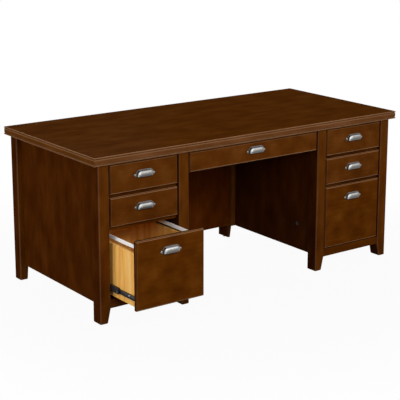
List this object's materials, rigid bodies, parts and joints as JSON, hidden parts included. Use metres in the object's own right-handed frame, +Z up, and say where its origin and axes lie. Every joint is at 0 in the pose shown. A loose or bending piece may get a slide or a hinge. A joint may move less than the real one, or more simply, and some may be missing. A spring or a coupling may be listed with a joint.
{
  "type": "executive desk",
  "caption": "Executive desk with drawer pedestals on both sides of a kneehole, a moulded top, cup pulls, and file drawers on telescopic slides.",
  "frame": {"origin": "on the floor under the middle of the desk top", "axes": "+X to the sitter's right along the desk, +Y from the sitter to the visitor, +Z up"},
  "size_m": [1.778, 1.026, 0.762],
  "materials": {
    "stained_wood": "dark warm brown stain under satin lacquer",
    "pale_wood": "clear lacquered pale hardwood",
    "pewter": "satin pewter",
    "white_rail": "white powder coat",
    "black_steel": "black coated steel",
    "black_plastic": "matt black"
  },
  "bodies": {
    "carcass": {"bolt_caps": "black_plastic", "cabinet_slides": "black_steel", "foot_glides": "black_plastic", "left_back_panel": "stained_wood", "left_bottom_panel": "stained_wood", "left_front_inner_post": "stained_wood", "left_front_outer_post": "stained_wood", "left_front_rails": "stained_wood", "left_inner_side_panel": "stained_wood", "left_outer_side_panel": "stained_wood", "left_rear_inner_leg": "stained_wood", "left_rear_outer_post": "stained_wood", "modesty_cleats": "stained_wood", "modesty_panel": "stained_wood", "right_back_panel": "stained_wood", "right_bottom_panel": "stained_wood", "right_front_inner_post": "stained_wood", "right_front_outer_post": "stained_wood", "right_front_rails": "stained_wood", "right_inner_side_panel": "stained_wood", "right_outer_side_panel": "stained_wood", "right_rear_inner_leg": "stained_wood", "right_rear_outer_post": "stained_wood", "slide_battens": "stained_wood", "top_cleats": "stained_wood", "top_edge_long": "stained_wood", "top_edge_short": "stained_wood", "top_panel": "stained_wood"},
    "left_top_drawer": {"left_top_drawer_box": "pale_wood", "left_top_drawer_front": "stained_wood", "left_top_drawer_pull": "pewter", "left_top_drawer_slides": "black_steel"},
    "left_middle_drawer": {"left_middle_drawer_box": "pale_wood", "left_middle_drawer_front": "stained_wood", "left_middle_drawer_pull": "pewter", "left_middle_drawer_slides": "black_steel"},
    "left_file_drawer": {"left_file_drawer_box": "pale_wood", "left_file_drawer_front": "stained_wood", "left_file_drawer_hanging_rails": "white_rail", "left_file_drawer_pull": "pewter", "left_file_drawer_slides": "black_steel"},
    "left_file_slide_middle": {"left_file_drawer_middle_slides": "black_steel"},
    "right_top_drawer": {"right_top_drawer_box": "pale_wood", "right_top_drawer_front": "stained_wood", "right_top_drawer_pull": "pewter", "right_top_drawer_slides": "black_steel"},
    "right_middle_drawer": {"right_middle_drawer_box": "pale_wood", "right_middle_drawer_front": "stained_wood", "right_middle_drawer_pull": "pewter", "right_middle_drawer_slides": "black_steel"},
    "right_file_drawer": {"right_file_drawer_box": "pale_wood", "right_file_drawer_front": "stained_wood", "right_file_drawer_hanging_rails": "white_rail", "right_file_drawer_pull": "pewter", "right_file_drawer_slides": "black_steel"},
    "right_file_slide_middle": {"right_file_drawer_middle_slides": "black_steel"},
    "centre_drawer": {"centre_drawer_box": "pale_wood", "centre_drawer_front": "stained_wood", "centre_drawer_pull": "pewter", "centre_drawer_slides": "black_steel"}
  },
  "joints": [
    {"name": "left_top_drawer_slide", "type": "slide", "parent": "carcass", "child": "left_top_drawer", "axis": [0, -1, 0], "range_m": [0, 0.4]},
    {"name": "left_middle_drawer_slide", "type": "slide", "parent": "carcass", "child": "left_middle_drawer", "axis": [0, -1, 0], "range_m": [0, 0.4]},
    {"name": "left_file_drawer_slide", "type": "slide", "parent": "carcass", "child": "left_file_drawer", "axis": [0, -1, 0], "range_m": [-0.2, 0.34]},
    {"name": "left_file_slide_middle_slide", "type": "slide", "parent": "carcass", "child": "left_file_slide_middle", "axis": [0, -1, 0], "range_m": [-0.1, 0.17]},
    {"name": "right_top_drawer_slide", "type": "slide", "parent": "carcass", "child": "right_top_drawer", "axis": [0, -1, 0], "range_m": [0, 0.4]},
    {"name": "right_middle_drawer_slide", "type": "slide", "parent": "carcass", "child": "right_middle_drawer", "axis": [0, -1, 0], "range_m": [0, 0.4]},
    {"name": "right_file_drawer_slide", "type": "slide", "parent": "carcass", "child": "right_file_drawer", "axis": [0, -1, 0], "range_m": [0, 0.54]},
    {"name": "right_file_slide_middle_slide", "type": "slide", "parent": "carcass", "child": "right_file_slide_middle", "axis": [0, -1, 0], "range_m": [0, 0.27]},
    {"name": "centre_drawer_slide", "type": "slide", "parent": "carcass", "child": "centre_drawer", "axis": [0, -1, 0], "range_m": [0, 0.3]}
  ],
  "couplings": [
    {"joint": "left_file_slide_middle_slide", "follows": "left_file_drawer_slide", "ratio": 0.5},
    {"joint": "right_file_slide_middle_slide", "follows": "right_file_drawer_slide", "ratio": 0.5}
  ]
}
